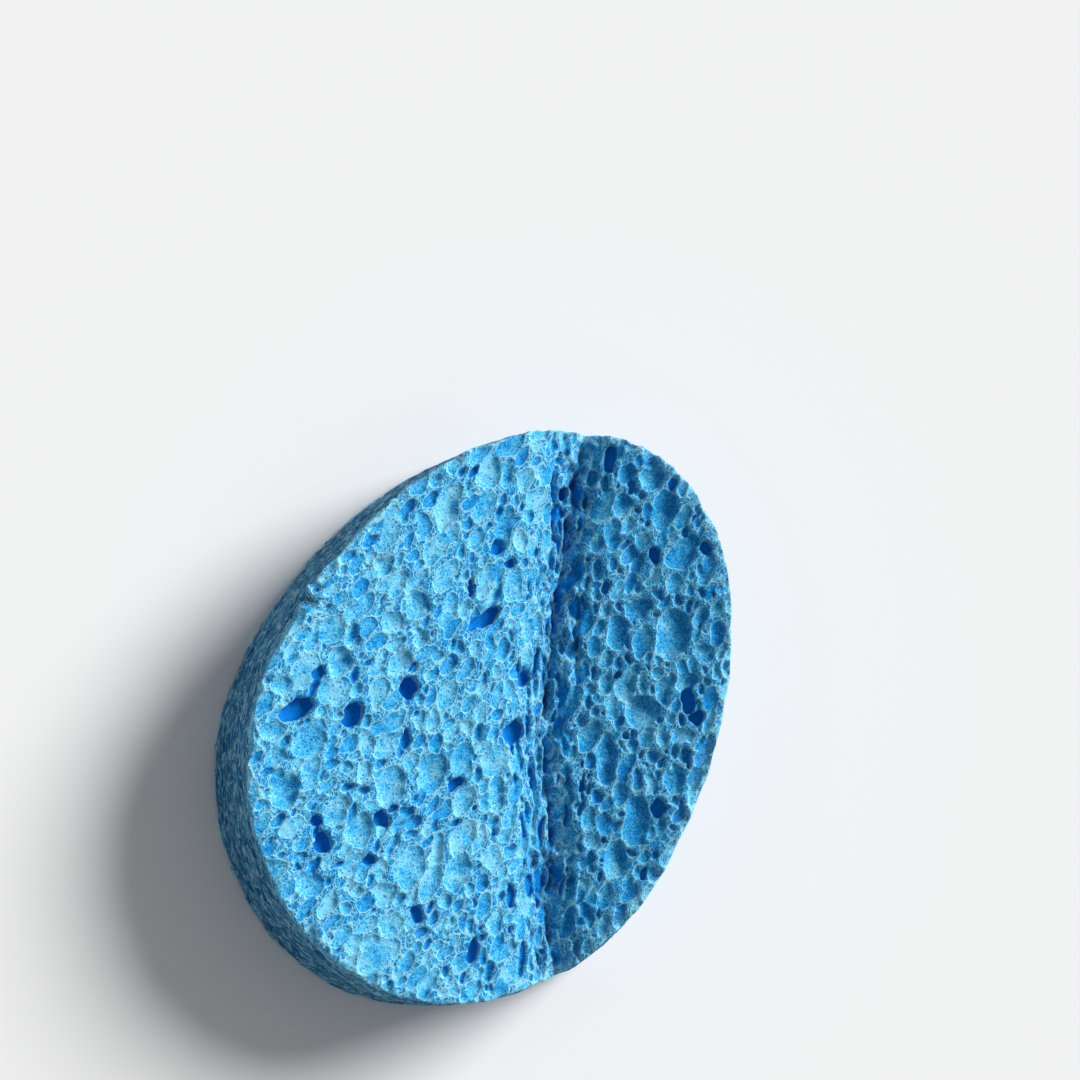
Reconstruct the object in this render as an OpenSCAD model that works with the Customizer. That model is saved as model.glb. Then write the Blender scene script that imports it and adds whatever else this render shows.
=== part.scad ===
// Bath sponge of foamed cellulose, one piece, millimetres.
//
// The sponge is an egg-shaped slab that keeps a fold across its face. The large wing lies
// flat on z = 0 and the small wing is raised about the crease, which runs along +Y, and
// the origin lies under the middle of the egg. A point of the slab before folding is
// [u, v, depth]: u to the right of the crease, v along it and depth below the face.

/* [Outline] */
// From the widest line of the egg to its narrow end
narrow_end = 71; // [60:0.5:80]
// From the widest line of the egg to its broad end
broad_end = 50; // [42:0.5:58]
// Half width of the egg on the side of the crease
near_half = 43.5; // [36:0.5:50]
// Half width of the egg on the side away from the crease
far_half = 46; // [38:0.5:54]
// Thickness of the slab
thickness = 25; // [18:0.5:32]

/* [Fold] */
// From the crease to the middle of the egg
crease_offset = 18.7; // [12:0.1:24]
// From the middle of the crease down to the middle of the egg
middle_drop = 12.6; // [8:0.1:17]
// Lean of the egg's long axis away from the crease, in degrees
egg_lean = 27; // [15:1:40]
// Angle by which the small wing is raised, in degrees
fold_angle = 20; // [10:1:30]
// How far the bend stands out beyond the rim at each end of the crease
fold_bulge = 0.6; // [0.3:0.1:1]

/* [Crease] */
// Depth of the groove that the fold has pressed into the face
groove_depth = 2.6; // [1:0.1:4]
// Width of the groove's gentle side, on the large wing
groove_reach = 9; // [6:0.5:14]
// Slope of the groove's steep side above that of the small wing, in degrees
groove_rise = 20; // [12:1:30]
// How far the groove bows towards the large wing halfway along
groove_bow = 4.2; // [1:0.1:6]

/* [Pores] */
// Least thickness of the cell wall between two scattered pores
cell_wall = 0.35; // [0.2:0.05:1]
// Least margin between a pore and the rim of its face
rim_margin = 0.8; // [0.5:0.1:2]
// Width of the smallest scattered pore
pore_min = 1.8; // [1.5:0.1:2.2]
// Width of the largest scattered pore
pore_max = 3.4; // [2.4:0.1:4.5]
// How many places are tried for a scattered pore on the face
face_tries = 420; // [200:10:500]
// How many places are tried for a scattered pore on the back
back_tries = 220; // [100:10:300]
// How many places are tried for a scattered pore on the wall
wall_tries = 130; // [60:10:180]

/* [Tear] */
// Width of the nick in the far rim
nick_width = 2.2; // [1:0.1:4]
// Depth of the nick, from the rim inwards
nick_depth = 3; // [1.5:0.1:5]
// Height of the nick, from the face down
nick_height = 5; // [2:0.5:10]

/* [Hidden] */
outline_steps = 72;
round_facets = 32;
groove_facets = 360;
groove_overrun = 3;
bisections = 40;
shallow_ratio = 0.7;
deep_ratio = 1.5;
ball_spacing = 0.85;
round_enough = 0.25;
seed_face = 4211;
seed_back = 9137;
seed_wall = 6029;
draws_per_pore = 3;
// Width of the patch under the middle of the egg that has no large pore
rest_width = 6;
// Angle of the rim at which the nick lies
nick_along = 170;

// The large open pores of the face: [u, v, length, width, lean in degrees].
bowls = [
    // the large wing, along its far side
    [-48, 3.5, 6, 5, 20], [-53.5, -12, 8.8, 6.4, 30], [-61, -10.5, 5.4, 4, 60], [-60, -15.5, 4.4, 4, 30],
    [-58, -22.5, 7.4, 5.8, 30], [-58, 3.5, 7.2, 5.4, 30], [-59.5, -2, 4.4, 4, 30], [-50, 9.5, 5.8, 4.6, 30],
    [-49, -2, 6.2, 5, 50], [-47.5, -25.5, 6.4, 4.4, 20], [-52, -40, 6.6, 5.6, 30], [-46, -49, 7.2, 5.8, 60],
    // the large wing, between its far side and the crease
    [-40, -2, 7.2, 3.6, 15], [-42, -12, 4.4, 3.2, 20], [-37, -20, 9, 6, 15], [-35.5, 4.5, 5.6, 4.8, 50],
    [-42.5, -17.5, 4.2, 3, 20], [-42.5, -29, 7, 5.2, 20], [-37, -40.5, 5, 4.6, 30], [-32, -35.5, 8.8, 5.6, 20],
    [-35.5, -46.5, 5.6, 4.8, 50], [-42.5, -50.5, 4.6, 3, 15], [-28.5, -17, 8.4, 5.6, 20], [-22, -13.5, 7.6, 4.8, 20],
    [-22, -35.5, 8, 6, 20], [-27.5, -38, 7.8, 4, 15], [-19, 44, 8.4, 4.8, 20], [-10.5, -13, 6.2, 3.2, 10],
    [-12, -24.5, 5.6, 3.2, 10], [-14, -45, 5.2, 2.6, 5], [-9.5, -54.5, 6, 4, 15], [-33, 16, 5.6, 5, 20],
    // the small wing, its upper half
    [20, 13.5, 10.6, 7.4, 10], [17, 38.5, 8.6, 5.4, 15], [21.5, 30.5, 9.6, 4.8, 45], [13, 18.5, 5.8, 4.2, 70],
    [7, 33.5, 8, 3.8, 5], [14, 12, 7.6, 3.2, 10], [26.5, 10, 4.2, 3.4, 20], [25.5, 17, 4.4, 3, 20],
    [7, 3, 4.4, 3.6, 10], [23, 4, 4.8, 4.2, 50], [6.5, 8, 3.6, 2.6, 10], [12.5, 6, 3.2, 2.4, 10],
    [9, 39.5, 4.6, 4, 20], [14.5, 45, 6, 5, 60], [26, 25.5, 3.4, 2.8, 60], [21, 37.5, 6, 2.6, 20],
    // the small wing, its lower half
    [14.5, -2, 7, 6.6, 20], [22.5, -6.5, 5.2, 3.4, 60], [7.5, -12, 10, 4, 0], [14, -23.5, 10.4, 5.4, 10],
    [23.5, -17, 6.2, 5, 60], [16.5, -16.5, 3.8, 2.6, 10], [5.5, -28.5, 3.6, 3.4, 0], [10, -31.5, 8.2, 5.2, 15],
    [4.7, -23.5, 4.6, 3, 0], [8.5, -39, 6, 3.2, 10], [14, -38.5, 4.6, 2.4, 15], [6, -45, 6.8, 5.2, 20]
];

// The deep holes of the face, where a pore opens into the one below it, in the same form.
holes = [
    // the large wing
    [-56.5, -6, 8, 3.2, 62], [-45.5, -6.5, 5.2, 4, 15], [-33.5, -0.5, 5.2, 4, 25], [-34, -10.5, 5, 1.8, 5],
    [-52.5, 1, 2.6, 2.4, 0], [-51, -27, 3.2, 2.6, 50], [-38, -26.5, 3.6, 3.2, 0], [-50, -31.5, 3.8, 3.4, 0],
    [-40.5, -34.5, 3, 2.4, 60], [-30, -44, 3.6, 2.8, 10], [-18.5, -50.5, 5.2, 2.2, 10], [-18.5, 14.5, 8.6, 3.4, 45],
    [-16.5, 28.5, 4.2, 2.6, 20], [-14, 25.5, 2.2, 2, 0], [-11.5, -7.5, 5.6, 3.2, 10], [-9.5, 3, 3.4, 2.8, 10],
    [-3.5, 37, 3.2, 2.6, 0], [-6.5, -38, 4.2, 2, 5], [-11, -40, 5.6, 1.8, 0],
    // the small wing
    [15.5, 29.5, 3, 2.6, 0], [25, -2.5, 3.4, 2.8, 60], [26, 31, 2.4, 2.2, 0], [6, 22.5, 3.4, 1.8, 0],
    [2.5, -17, 2.8, 2, 0], [18.5, -21.5, 4.2, 3, 15], [6, 48.5, 6.4, 2.6, 0]
];

// The outline of the egg: four quarter ellipses that share a middle and meet smoothly.
// An angle of 0 points to the near side and 90 to the narrow end.
function half_across(a) = cos(a) > 0 ? near_half : far_half;
function half_along(a) = sin(a) > 0 ? narrow_end : broad_end;
function rim(a) = let (x = half_across(a) * cos(a), y = half_along(a) * sin(a)) [
    x * cos(egg_lean) + y * sin(egg_lean) - crease_offset,
    y * cos(egg_lean) - x * sin(egg_lean) - middle_drop
];

// The angles at which the crease meets the rim, by halving the stretch that holds each.
function crossing(below, above, n) = let (mid = (below + above) / 2)
    n == 0 ? mid : rim(mid)[0] < 0 ? crossing(mid, above, n - 1) : crossing(below, mid, n - 1);
nearest = atan2(narrow_end * sin(egg_lean), near_half * cos(egg_lean));
farthest = atan2(broad_end * sin(egg_lean), far_half * cos(egg_lean)) + 180;
upper_end = crossing(farthest, nearest, bisections);
lower_end = crossing(farthest - 360, nearest, bisections);
crease_top = rim(upper_end)[1];
crease_foot = rim(lower_end)[1];
function arc_of_rim(from, to) = [for (i = [0 : outline_steps]) rim(from + (to - from) * i / outline_steps)];

// The groove is an arc that meets the line of the crease a little beyond the rim.
half_crease = (crease_top - crease_foot) / 2 + groove_overrun;
groove_radius = (half_crease * half_crease + groove_bow * groove_bow) / (2 * groove_bow);
steep_slope = tan(fold_angle + groove_rise);
steep_top = 12;
function groove_at(v) = groove_radius - groove_bow - sqrt(groove_radius * groove_radius - v * v);
function groove_dip(u, v) = let (
    turned = u < 0 ? 0 : fold_angle,
    d = u * cos(turned) - groove_at(v),
    bed = d < 0 ? -groove_depth * (1 + d / groove_reach) : d * steep_slope - groove_depth
) max(0, u * sin(turned) - bed) * cos(turned);

// Whether a pore of this half length lies on the face, clear of the rim.
function on_slab(u, v, half) = let (
    x = u + crease_offset,
    y = v + middle_drop,
    across = x * cos(egg_lean) - y * sin(egg_lean),
    along = x * sin(egg_lean) + y * cos(egg_lean),
    a = (across > 0 ? near_half : far_half) - half - rim_margin,
    b = (along > 0 ? narrow_end : broad_end) - half - rim_margin
) across * across / (a * a) + along * along / (b * b) < 1;

// Draws between 0 and 1 that are the same each time: each is 48271 times the last, modulo
// the prime 2^31 - 1.
prime = 2147483647;
function next_draw(x) = (48271 * x) % prime;
function draws(count, seed) = [for (i = 0, x = next_draw(seed); i < count; i = i + 1, x = next_draw(x)) x / prime];

// A pore is [u, v, depth, length, width, lean], and two are clear of each other when a cell
// wall stands between them.
function mean_half(p) = (p[3] + p[4]) / 4;
function clear_of(p, q) = norm([p[0] - q[0], p[1] - q[1], p[2] - q[2]]) > mean_half(p) + mean_half(q) + cell_wall;
function all_clear(p, kept) = len([for (q = kept) if (!clear_of(p, q)) 1]) == 0;
function keep_clear(found, i, kept) =
    i == len(found) ? kept :
    keep_clear(found, i + 1, all_clear(found[i], kept) ? concat(kept, [found[i]]) : kept);

function scattered_width(r) = pore_min + (pore_max - pore_min) * r * r * r;
function flat_pore(r, k, left, right, depth) = let (width = scattered_width(r[k + 2])) [
    left + (right - left) * r[k],
    slab_foot + (slab_top - slab_foot) * r[k + 1],
    depth,
    width,
    width,
    0
];

// The face: the named pores first, then the scattered ones between them.
function on_face(list) = [for (p = list) if (on_slab(p[0], p[1], p[2] / 2)) [p[0], p[1], 0, p[2], p[3], p[4]]];
function added(all, first) = [for (i = [first : 1 : len(all) - 1]) all[i]];
face_bowls = on_face(bowls);
face_holes = on_face(holes);
face_named = concat(face_bowls, face_holes);
slab_left = rim(farthest)[0];
slab_right = rim(nearest)[0];
slab_foot = -broad_end - middle_drop;
slab_top = narrow_end - middle_drop;
face_draws = draws(face_tries * draws_per_pore, seed_face);
face_found = [
    for (i = [0 : face_tries - 1])
        let (p = flat_pore(face_draws, i * draws_per_pore, slab_left, slab_right, 0))
            if (on_slab(p[0], p[1], p[3] / 2)) p
];
face_scattered = added(keep_clear(face_found, 0, face_named), len(face_named));

// The back is longer than the face by the arc of the bend, which starts at u = 0.
bend_arc = thickness * fold_angle * PI / 180;
function slab_u(u) = u < 0 ? u : max(0, u - bend_arc);
function off_seams(u, half) = min(abs(u), abs(u - bend_arc)) > half + cell_wall;
back_draws = draws(back_tries * draws_per_pore, seed_back);
back_found = [
    for (i = [0 : back_tries - 1])
        let (p = flat_pore(back_draws, i * draws_per_pore, slab_left, slab_right + bend_arc, thickness))
            if (on_slab(slab_u(p[0]), p[1], p[3] / 2) && off_seams(p[0], p[3] / 2)) p
];
rest_patch = [-crease_offset, -middle_drop, thickness, rest_width, rest_width, 0];
back_scattered = added(keep_clear(back_found, 0, [rest_patch]), 1);

// The wall: slits that run along the rim. Their first value is an angle of the rim.
function wall_pore(r, k) = let (
    width = scattered_width(r[k + 2]),
    margin = width / 2 + rim_margin,
    a = 360 * r[k],
    at = rim(a)
) [at[0], at[1], margin + (thickness - 2 * margin) * r[k + 1], width, width, a];
wall_draws = draws(wall_tries * draws_per_pore, seed_wall);
wall_found = [
    for (i = [0 : wall_tries - 1])
        let (p = wall_pore(wall_draws, i * draws_per_pore))
            if (abs(p[0]) > p[3] / 2 + cell_wall) p
];
wall_scattered = keep_clear(wall_found, 0, []);

// Puts what stands on the slab before folding on the folded slab: depth is measured down
// from the face, and the small wing turns about the crease.
module raised() {
    translate([0, 0, thickness]) rotate([0, -fold_angle, 0]) translate([0, 0, -thickness]) children();
}
module at_face(u, v) {
    if (u < 0) translate([u, v, thickness]) children();
    else raised() translate([u, v, thickness]) children();
}
module at_back(u, v) {
    if (u < 0) translate([u, v, 0]) children();
    else if (u > bend_arc) raised() translate([u - bend_arc, v, 0]) children();
    else translate([0, v, thickness]) rotate([0, -u / bend_arc * fold_angle, 0]) translate([0, 0, -thickness]) children();
}
module at_wall(u, v, depth, a) {
    ahead = rim(a + 1) - rim(a - 1);
    outward = atan2(ahead[1], ahead[0]) - 90;
    if (u < 0) translate([u, v, thickness - depth]) rotate([0, 0, outward]) rotate([0, 90, 0]) children();
    else raised() translate([u, v, thickness - depth]) rotate([0, 0, outward]) rotate([0, 90, 0]) children();
}

// One pore that opens at z = 0 and sinks along -Z: a row of equal balls along Y. The ratio
// is its depth over half its width, so a hole with a ratio above 1 is wider inside.
module pore(length, width, ratio) {
    half = width / 2;
    ball = half * (1 + ratio * ratio) / (2 * ratio);
    spare = length - width;
    count = spare < round_enough * width ? 1 : ceil(spare / (width * ball_spacing)) + 1;
    for (k = [0 : count - 1])
        translate([0, count == 1 ? 0 : spare * (k / (count - 1) - 0.5), ball - ratio * half])
            sphere(r = ball, $fn = round_facets);
}

module face_pores(list, ratio) {
    for (p = list)
        at_face(p[0], p[1])
            translate([0, 0, -groove_dip(p[0], p[1])])
                rotate([0, 0, -p[5]]) pore(p[3], p[4], ratio);
}

module back_pores(list, ratio) {
    for (p = list)
        at_back(p[0], p[1]) rotate([0, 0, -p[5]]) mirror([0, 0, 1]) pore(p[3], p[4], ratio);
}

module wall_pores(list, ratio) {
    for (p = list)
        at_wall(p[0], p[1], p[2], p[5]) pore(p[3], p[4], ratio);
}

// The two wings and the bend between them, which is a sector about the crease.
module large_wing() {
    linear_extrude(thickness) polygon(arc_of_rim(upper_end, lower_end + 360));
}

module small_wing() {
    raised() linear_extrude(thickness) polygon(arc_of_rim(lower_end, upper_end));
}

module bend() {
    translate([0, 0, thickness]) rotate([0, 90, 0]) rotate([90, 0, 0])
        rotate_extrude(angle = fold_angle, $fn = groove_facets)
            translate([0, -crease_top - fold_bulge])
                square([thickness, crease_top - crease_foot + 2 * fold_bulge]);
}

// The groove's cutter: a gentle side and a steep one, turned about a point far to the right.
module groove() {
    translate([groove_radius - groove_bow, 0, thickness])
        rotate_extrude($fn = groove_facets)
            polygon([
                [groove_radius, -groove_depth],
                [groove_radius - (steep_top + groove_depth) / steep_slope, steep_top],
                [groove_radius + groove_reach, steep_top],
                [groove_radius + groove_reach, 0]
            ]);
}

// The nick in the far rim, a wedge cut down from the face.
module nick() {
    at = rim(nick_along);
    ahead = rim(nick_along + 1) - rim(nick_along - 1);
    translate([at[0], at[1], thickness - nick_height])
        rotate([0, 0, atan2(ahead[1], ahead[0]) - 90])
            linear_extrude(nick_height + 1)
                polygon([[1, -nick_width / 2], [1, nick_width / 2], [-nick_depth, 0]]);
}

module folded_slab() {
    difference() {
        union() {
            large_wing();
            bend();
            small_wing();
        }
        groove();
    }
}

module sponge() {
    color([0.35, 0.66, 0.87]) translate([crease_offset, middle_drop, 0])
        difference() {
            folded_slab();
            nick();
            face_pores(face_bowls, shallow_ratio);
            face_pores(face_holes, deep_ratio);
            face_pores(face_scattered, shallow_ratio);
            back_pores(back_scattered, shallow_ratio);
            wall_pores(wall_scattered, shallow_ratio);
        }
}

sponge();
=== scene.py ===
"""Bath sponge of foamed cellulose, folded once, on a pale studio floor."""

import math

import bpy
import numpy as np
from bpy.props import FloatProperty, FloatVectorProperty, IntProperty, PointerProperty
from bpy.types import Operator, Panel, PropertyGroup
from mathutils import Matrix, Vector


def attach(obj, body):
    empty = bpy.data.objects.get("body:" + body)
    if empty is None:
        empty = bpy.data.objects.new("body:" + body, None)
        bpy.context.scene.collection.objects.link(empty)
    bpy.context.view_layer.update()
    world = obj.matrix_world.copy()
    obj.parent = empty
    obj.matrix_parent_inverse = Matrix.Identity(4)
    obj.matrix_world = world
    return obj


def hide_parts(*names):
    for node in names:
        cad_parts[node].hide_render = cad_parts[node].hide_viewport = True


bl_info = {
    "name": "Bath Sponge",
    "version": (1, 0, 0),
    "blender": (4, 5, 0),
    "location": "View3D > Sidebar > Sponge",
    "description": "Builds a folded sponge of cellulose foam and the studio around it",
    "category": "Add Mesh",
}

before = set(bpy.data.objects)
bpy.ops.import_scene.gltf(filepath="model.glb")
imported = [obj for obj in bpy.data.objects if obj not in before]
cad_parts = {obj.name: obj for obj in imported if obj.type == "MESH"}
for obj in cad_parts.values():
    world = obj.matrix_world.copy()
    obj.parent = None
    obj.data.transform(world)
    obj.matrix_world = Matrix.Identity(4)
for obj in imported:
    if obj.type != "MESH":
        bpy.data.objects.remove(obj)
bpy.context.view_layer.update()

MM = 0.001
BODY = "root"
NODE = "sponge"

# The vertex group that keeps more triangles on the face when the mesh is thinned.
KEEP = "keep"
KEEP_WEIGHT = 0.5
KEEP_FACTOR = 0.0004

# The large open pores of the face: u, v, length, width and lean in degrees, in millimetres.
# u runs to the right of the crease and v along it, as in the part's own source.
BOWLS = (
    # the large wing, along its far side
    (-48, 3.5, 6, 5, 20), (-53.5, -12, 8.8, 6.4, 30), (-61, -10.5, 5.4, 4, 60),
    (-60, -15.5, 4.4, 4, 30), (-58, -22.5, 7.4, 5.8, 30), (-58, 3.5, 7.2, 5.4, 30),
    (-59.5, -2, 4.4, 4, 30), (-50, 9.5, 5.8, 4.6, 30), (-49, -2, 6.2, 5, 50),
    (-47.5, -25.5, 6.4, 4.4, 20), (-52, -40, 6.6, 5.6, 30), (-46, -49, 7.2, 5.8, 60),
    # the large wing, between its far side and the crease
    (-40, -2, 7.2, 3.6, 15), (-42, -12, 4.4, 3.2, 20), (-37, -20, 9, 6, 15), (-35.5, 4.5, 5.6, 4.8, 50),
    (-42.5, -17.5, 4.2, 3, 20), (-42.5, -29, 7, 5.2, 20), (-37, -40.5, 5, 4.6, 30),
    (-32, -35.5, 8.8, 5.6, 20), (-35.5, -46.5, 5.6, 4.8, 50), (-42.5, -50.5, 4.6, 3, 15),
    (-28.5, -17, 8.4, 5.6, 20), (-22, -13.5, 7.6, 4.8, 20), (-22, -35.5, 8, 6, 20),
    (-27.5, -38, 7.8, 4, 15), (-19, 44, 8.4, 4.8, 20), (-10.5, -13, 6.2, 3.2, 10),
    (-12, -24.5, 5.6, 3.2, 10), (-14, -45, 5.2, 2.6, 5), (-9.5, -54.5, 6, 4, 15), (-33, 16, 5.6, 5, 20),
    # the small wing, its upper half
    (20, 13.5, 10.6, 7.4, 10), (17, 38.5, 8.6, 5.4, 15), (21.5, 30.5, 9.6, 4.8, 45),
    (13, 18.5, 5.8, 4.2, 70), (7, 33.5, 8, 3.8, 5), (14, 12, 7.6, 3.2, 10), (26.5, 10, 4.2, 3.4, 20),
    (25.5, 17, 4.4, 3, 20), (7, 3, 4.4, 3.6, 10), (23, 4, 4.8, 4.2, 50), (6.5, 8, 3.6, 2.6, 10),
    (12.5, 6, 3.2, 2.4, 10), (9, 39.5, 4.6, 4, 20), (14.5, 45, 6, 5, 60), (26, 25.5, 3.4, 2.8, 60),
    (21, 37.5, 6, 2.6, 20),
    # the small wing, its lower half
    (14.5, -2, 7, 6.6, 20), (22.5, -6.5, 5.2, 3.4, 60), (7.5, -12, 10, 4, 0),
    (14, -23.5, 10.4, 5.4, 10), (23.5, -17, 6.2, 5, 60), (16.5, -16.5, 3.8, 2.6, 10),
    (5.5, -28.5, 3.6, 3.4, 0), (10, -31.5, 8.2, 5.2, 15), (4.7, -23.5, 4.6, 3, 0),
    (8.5, -39, 6, 3.2, 10), (14, -38.5, 4.6, 2.4, 15), (6, -45, 6.8, 5.2, 20),
)

# The deep holes of the face, where a pore opens into the one below it, in the same form.
HOLES = (
    # the large wing
    (-56.5, -6, 8, 3.2, 62), (-45.5, -6.5, 5.2, 4, 15), (-33.5, -0.5, 5.2, 4, 25),
    (-34, -10.5, 5, 1.8, 5), (-52.5, 1, 2.6, 2.4, 0), (-51, -27, 3.2, 2.6, 50),
    (-38, -26.5, 3.6, 3.2, 0), (-50, -31.5, 3.8, 3.4, 0), (-40.5, -34.5, 3, 2.4, 60),
    (-30, -44, 3.6, 2.8, 10), (-18.5, -50.5, 5.2, 2.2, 10), (-18.5, 14.5, 8.6, 3.4, 45),
    (-16.5, 28.5, 4.2, 2.6, 20), (-14, 25.5, 2.2, 2, 0), (-11.5, -7.5, 5.6, 3.2, 10),
    (-9.5, 3, 3.4, 2.8, 10), (-3.5, 37, 3.2, 2.6, 0), (-6.5, -38, 4.2, 2, 5), (-11, -40, 5.6, 1.8, 0),
    # the small wing
    (15.5, 29.5, 3, 2.6, 0), (25, -2.5, 3.4, 2.8, 60), (26, 31, 2.4, 2.2, 0), (6, 22.5, 3.4, 1.8, 0),
    (2.5, -17, 2.8, 2, 0), (18.5, -21.5, 4.2, 3, 15), (6, 48.5, 6.4, 2.6, 0),
)


def length(name, description, millimetres):
    """A length property: shown in scene units, with its default given in millimetres."""
    return FloatProperty(name=name, description=description, default=millimetres * MM,
                         min=0.0, unit="LENGTH", precision=4)


def angle(name, description, degrees):
    """An angle property, with its default given in degrees."""
    return FloatProperty(name=name, description=description, default=math.radians(degrees), unit="ROTATION")


def colour(name, description, default):
    """A colour property in linear light."""
    return FloatVectorProperty(name=name, description=description, default=default,
                               size=3, min=0.0, max=1.0, subtype="COLOR")


class SpongeShape(PropertyGroup):
    """Sizes of the slab and of its fold."""

    narrow_end: length("Narrow end", "From the widest line of the egg to its narrow end", 71)
    broad_end: length("Broad end", "From the widest line of the egg to its broad end", 50)
    near_half: length("Near half", "Half width of the egg on the side of the crease", 43.5)
    far_half: length("Far half", "Half width of the egg away from the crease", 46)
    thickness: length("Thickness", "Thickness of the slab", 25)
    crease_offset: length("Crease offset", "From the crease to the middle of the egg", 18.7)
    middle_drop: length("Middle drop", "From the middle of the crease down to the middle of the egg", 12.6)
    egg_lean: angle("Egg lean", "Lean of the egg's long axis away from the crease", 27)
    fold_angle: angle("Fold angle", "Angle by which the small wing is raised", 20)
    fold_half: length("Fold half width", "Half the width over which the face turns", 2.5)
    groove_depth: length("Groove depth", "Depth of the groove pressed into the face", 2.6)
    groove_reach: length("Groove reach", "Width of the groove's gentle side", 9)
    groove_rise: angle("Groove rise", "Slope of the groove's steep side above the small wing's", 20)
    groove_bow: length("Groove bow", "How far the groove bows towards the large wing", 4.2)
    groove_overrun: length("Groove overrun", "How far the groove's arc runs on beyond the rim", 3)
    nick_along: angle("Nick place", "Where on the rim the torn nick is, as an angle of the egg", 173)
    nick_width: length("Nick width", "Width of the nick at the rim", 2.2)
    nick_depth: length("Nick depth", "Depth of the nick into the face", 3)
    nick_height: length("Nick height", "How far the nick runs down the wall", 5)


class SpongePores(PropertyGroup):
    """Sizes and counts of the foam's pores."""

    cell_wall: length("Cell wall", "Least thickness of the wall between scattered pores", 0.35)
    rim_margin: length("Rim margin", "Least margin between a scattered pore and the rim", 0.8)
    pore_min: length("Smallest scattered pore", "Width of the smallest scattered pore", 1.8)
    pore_max: length("Largest scattered pore", "Width of the largest scattered pore", 3.4)
    face_tries: IntProperty(name="Face tries", description="Places tried for a pore on the face", default=420)
    back_tries: IntProperty(name="Back tries", description="Places tried for a pore on the back", default=220)
    wall_tries: IntProperty(name="Wall tries", description="Places tried for a pore on the wall", default=130)
    slits: IntProperty(name="Slits", description="Thin slits torn open beside the crease", default=60)
    grid: IntProperty(name="Grid", description="Points along each side of the face's grid", default=380)
    wall_rows: IntProperty(name="Wall rows", description="Rows of points down the wall", default=84)
    triangles: IntProperty(name="Triangles", description="Triangles of the finished sponge", default=196000)


class SpongeFinish(PropertyGroup):
    """Colours of the foam; the deep colour, the shadow tint and the wall's grey cast are painted shade and
    light.
    """

    rim: colour("Rims", "Cut edges of the pores", (0.35, 0.82, 1.0))
    pale: colour("Pale foam", "The palest floors of the pores", (0.27, 0.70, 0.94))
    middle: colour("Middle foam", "The body of the foam", (0.04, 0.48, 0.86))
    blue: colour("Blue foam", "The bluest pores", (0.0, 0.27, 0.74))
    # The deep colour is painted shade at the bottoms of the deep holes; the fine dark dots of the floors use
    # it too.
    deep: colour("Deep foam", "The bottoms of the deep holes", (0.0, 0.20, 0.66))
    # The wall's grey cast is painted light for warm light bounced onto the shaded wall; its slits and fibres
    # are the foam's own.
    skin: colour("Wall", "The greyer foam of the wall around", (0.07, 0.30, 0.50))
    fibre: colour("Wall fibres", "The pale lengthwise streaks of the wall", (0.32, 0.59, 0.74))
    slit: colour("Slits", "The slits in the wall, which are pores cut lengthwise", (0.0, 0.09, 0.26))
    shadow: colour("Shadow tint", "What shaded foam is tinted with", (0.0, 0.02, 0.06))


class StudioSettings(PropertyGroup):
    """Floor, lamps and camera."""

    floor_colour: colour("Floor", "Colour of the floor", (0.88, 0.88, 0.88))
    key_level: FloatProperty(name="Key level", description="Light of the large soft lamp, 1 for full white",
                             default=1.34)
    key_spread: angle("Key spread", "Angle over which the large soft lamp spreads", 30)
    fill_level: FloatProperty(name="Fill level", description="Strength of the even light around",
                              default=0.265)
    camera_distance: length("Camera distance", "From the camera to the sponge", 700)
    view_tilt: angle("View tilt", "Angle between the line of sight and the plumb line", 22.1)
    view_turn: angle("View turn", "Direction in which the camera is tilted, from the far side", 23.4)
    view_roll: angle("View roll", "Turn of the picture's upright from the crease", -2.4)
    view_width: length("View width", "Width of the view at the sponge", 214.5)
    aim_left: length("Aim left", "How far left of the crease's middle the camera aims", 6.1)
    aim_up: length("Aim up", "How far above the crease's middle the camera aims", 31.4)


# --- the slab and its fold, in millimetres ------------------------------------------------

# The crease's waves stop this far from its middle, beyond the rim.
CREASE_REACH = 60

# The fold's running sums go this far to each side of the crease, in steps this long.
FOLD_REACH = 90
FOLD_STEP = 0.02


def in_mm(settings):
    """The sizes of a property group as plain numbers: lengths in millimetres, angles in radians."""
    sizes = {}
    for key, prop in settings.bl_rna.properties.items():
        if key in ("rna_type", "name"):
            continue
        value = getattr(settings, key)
        sizes[key] = value / MM if prop.unit == "LENGTH" else value
    return sizes


def rim(s, a):
    """A point of the outline at the angle a of the egg: four quarter ellipses that share a middle.

    Across the egg it is half width times cos a, along it half length times sin a, and the
    pair is turned by the egg's lean and moved from the crease's middle to the egg's.
    """
    across = np.where(np.cos(a) > 0, s["near_half"], s["far_half"]) * np.cos(a)
    along = np.where(np.sin(a) > 0, s["narrow_end"], s["broad_end"]) * np.sin(a)
    return placed(s, across, along)


def placed(s, across, along):
    """Turns a point across and along the egg into u and v."""
    c, n = math.cos(s["egg_lean"]), math.sin(s["egg_lean"])
    return across * c + along * n - s["crease_offset"], along * c - across * n - s["middle_drop"]


def on_slab(s, u, v, half, margin):
    """Whether a pore of this half length lies inside the outline by the margin."""
    c, n = math.cos(s["egg_lean"]), math.sin(s["egg_lean"])
    x, y = u + s["crease_offset"], v + s["middle_drop"]
    across, along = x * c - y * n, x * n + y * c
    a = (s["near_half"] if across > 0 else s["far_half"]) - half - margin
    b = (s["narrow_end"] if along > 0 else s["broad_end"]) - half - margin
    return (across / a) ** 2 + (along / b) ** 2 < 1


def crease_ends(s):
    """Where the line of the crease meets the rim, read off a fine run of the outline."""
    u, v = rim(s, np.linspace(-math.pi, math.pi, 200001))
    turns = np.nonzero(np.sign(u[1:]) != np.sign(u[:-1]))[0]
    return float(v[turns].min()), float(v[turns].max())


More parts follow.
